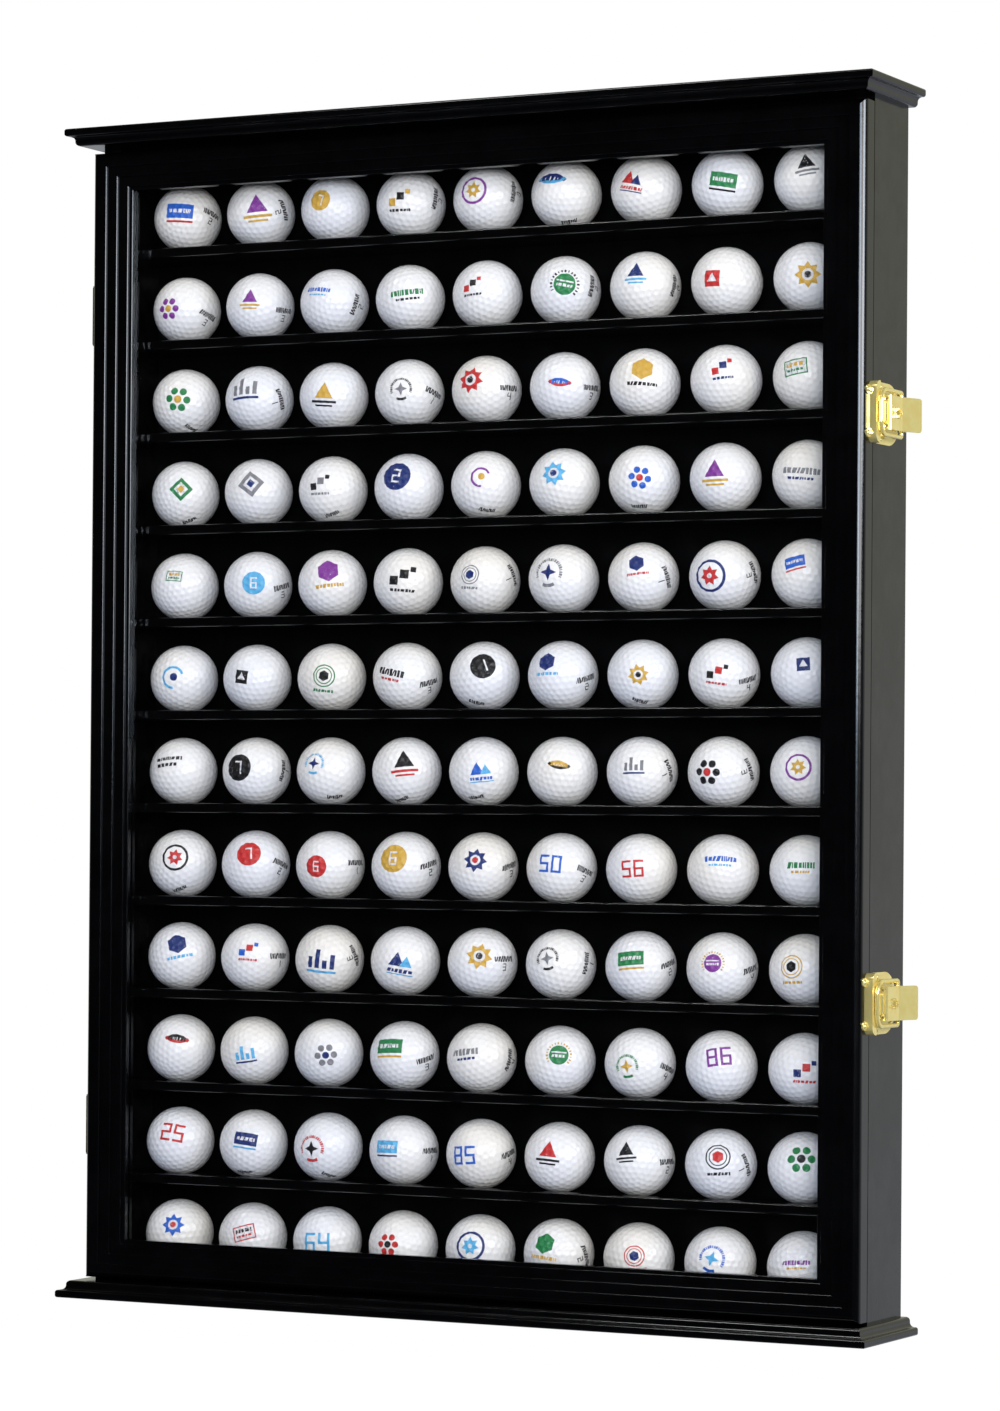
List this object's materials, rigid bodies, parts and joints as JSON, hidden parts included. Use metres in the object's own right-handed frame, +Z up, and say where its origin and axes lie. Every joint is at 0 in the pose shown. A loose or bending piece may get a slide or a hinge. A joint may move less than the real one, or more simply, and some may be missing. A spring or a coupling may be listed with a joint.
{
  "type": "golf ball display case",
  "caption": "Wall case with a hinged glazed door, draw latches on its side and grooved shelves that hold rows of golf balls.",
  "frame": {"origin": "middle of the wall face, at mid height of the carcass", "axes": "+X to the right seen from the front, +Y into the wall, +Z up"},
  "size_m": [0.5523, 0.0814, 0.7326],
  "materials": {
    "lacquer": "gloss",
    "back_board": "satin",
    "glass": "gloss",
    "ball_cover": "gloss",
    "brass": "polished",
    "aged_brass": "satin",
    "black_steel": "satin",
    "bumper_rubber": "matte"
  },
  "bodies": {
    "case": {"back_panel": "back_board", "case_floor": "lacquer", "case_top": "lacquer", "cornice_board": "lacquer", "door_bumpers": "bumper_rubber", "golf_balls": "ball_cover", "hanger_left": "black_steel", "hanger_right": "black_steel", "hanger_screws": "black_steel", "hinge_case_screws": "aged_brass", "hinge_lower_case_leaf": "aged_brass", "hinge_lower_pin": "aged_brass", "hinge_upper_case_leaf": "aged_brass", "hinge_upper_pin": "aged_brass", "latch_base_screws": "brass", "latch_lower_base": "brass", "latch_lower_pin": "brass", "latch_upper_base": "brass", "latch_upper_pin": "brass", "plinth_board": "lacquer", "shelf_01": "lacquer", "shelf_02": "lacquer", "shelf_03": "lacquer", "shelf_04": "lacquer", "shelf_05": "lacquer", "shelf_06": "lacquer", "shelf_07": "lacquer", "shelf_08": "lacquer", "shelf_09": "lacquer", "shelf_10": "lacquer", "shelf_11": "lacquer", "side_left": "lacquer", "side_right": "lacquer"},
    "door": {"door_rail_bottom": "lacquer", "door_rail_top": "lacquer", "door_stile_left": "lacquer", "door_stile_right": "lacquer", "glass_pane": "glass", "glass_stops": "lacquer", "hinge_door_screws": "aged_brass", "hinge_lower_door_leaf": "aged_brass", "hinge_upper_door_leaf": "aged_brass", "latch_keeper_screws": "brass", "latch_lower_keeper": "brass", "latch_upper_keeper": "brass"},
    "latch_upper_lever_body": {"latch_upper_lever": "brass"},
    "latch_upper_bail_body": {"latch_upper_bail": "brass"},
    "latch_lower_lever_body": {"latch_lower_lever": "brass"},
    "latch_lower_bail_body": {"latch_lower_bail": "brass"}
  },
  "joints": [
    {"name": "door_hinge", "type": "hinge", "parent": "case", "child": "door", "pos_m": [-0.2669, -0.0517, 0], "axis": [0, 0, -1], "range_deg": [0, 175]},
    {"name": "latch_upper_lever_pivot", "type": "hinge", "parent": "case", "child": "latch_upper_lever_body", "pos_m": [0.2669, -0.0452, 0.1721], "axis": [0, 0, -1], "range_deg": [0, 98]},
    {"name": "latch_upper_bail_pivot", "type": "hinge", "parent": "latch_upper_lever_body", "child": "latch_upper_bail_body", "pos_m": [0.2695, -0.0247, 0.1721], "axis": [0, 0, -1], "range_deg": [-98, 0]},
    {"name": "latch_lower_lever_pivot", "type": "hinge", "parent": "case", "child": "latch_lower_lever_body", "pos_m": [0.2669, -0.0452, -0.1705], "axis": [0, 0, -1], "range_deg": [0, 98]},
    {"name": "latch_lower_bail_pivot", "type": "hinge", "parent": "latch_lower_lever_body", "child": "latch_lower_bail_body", "pos_m": [0.2695, -0.0247, -0.1705], "axis": [0, 0, -1], "range_deg": [-98, 0]}
  ],
  "couplings": [
    {"joint": "latch_upper_bail_pivot", "follows": "latch_upper_lever_pivot", "ratio": -1},
    {"joint": "latch_lower_bail_pivot", "follows": "latch_lower_lever_pivot", "ratio": -1}
  ]
}
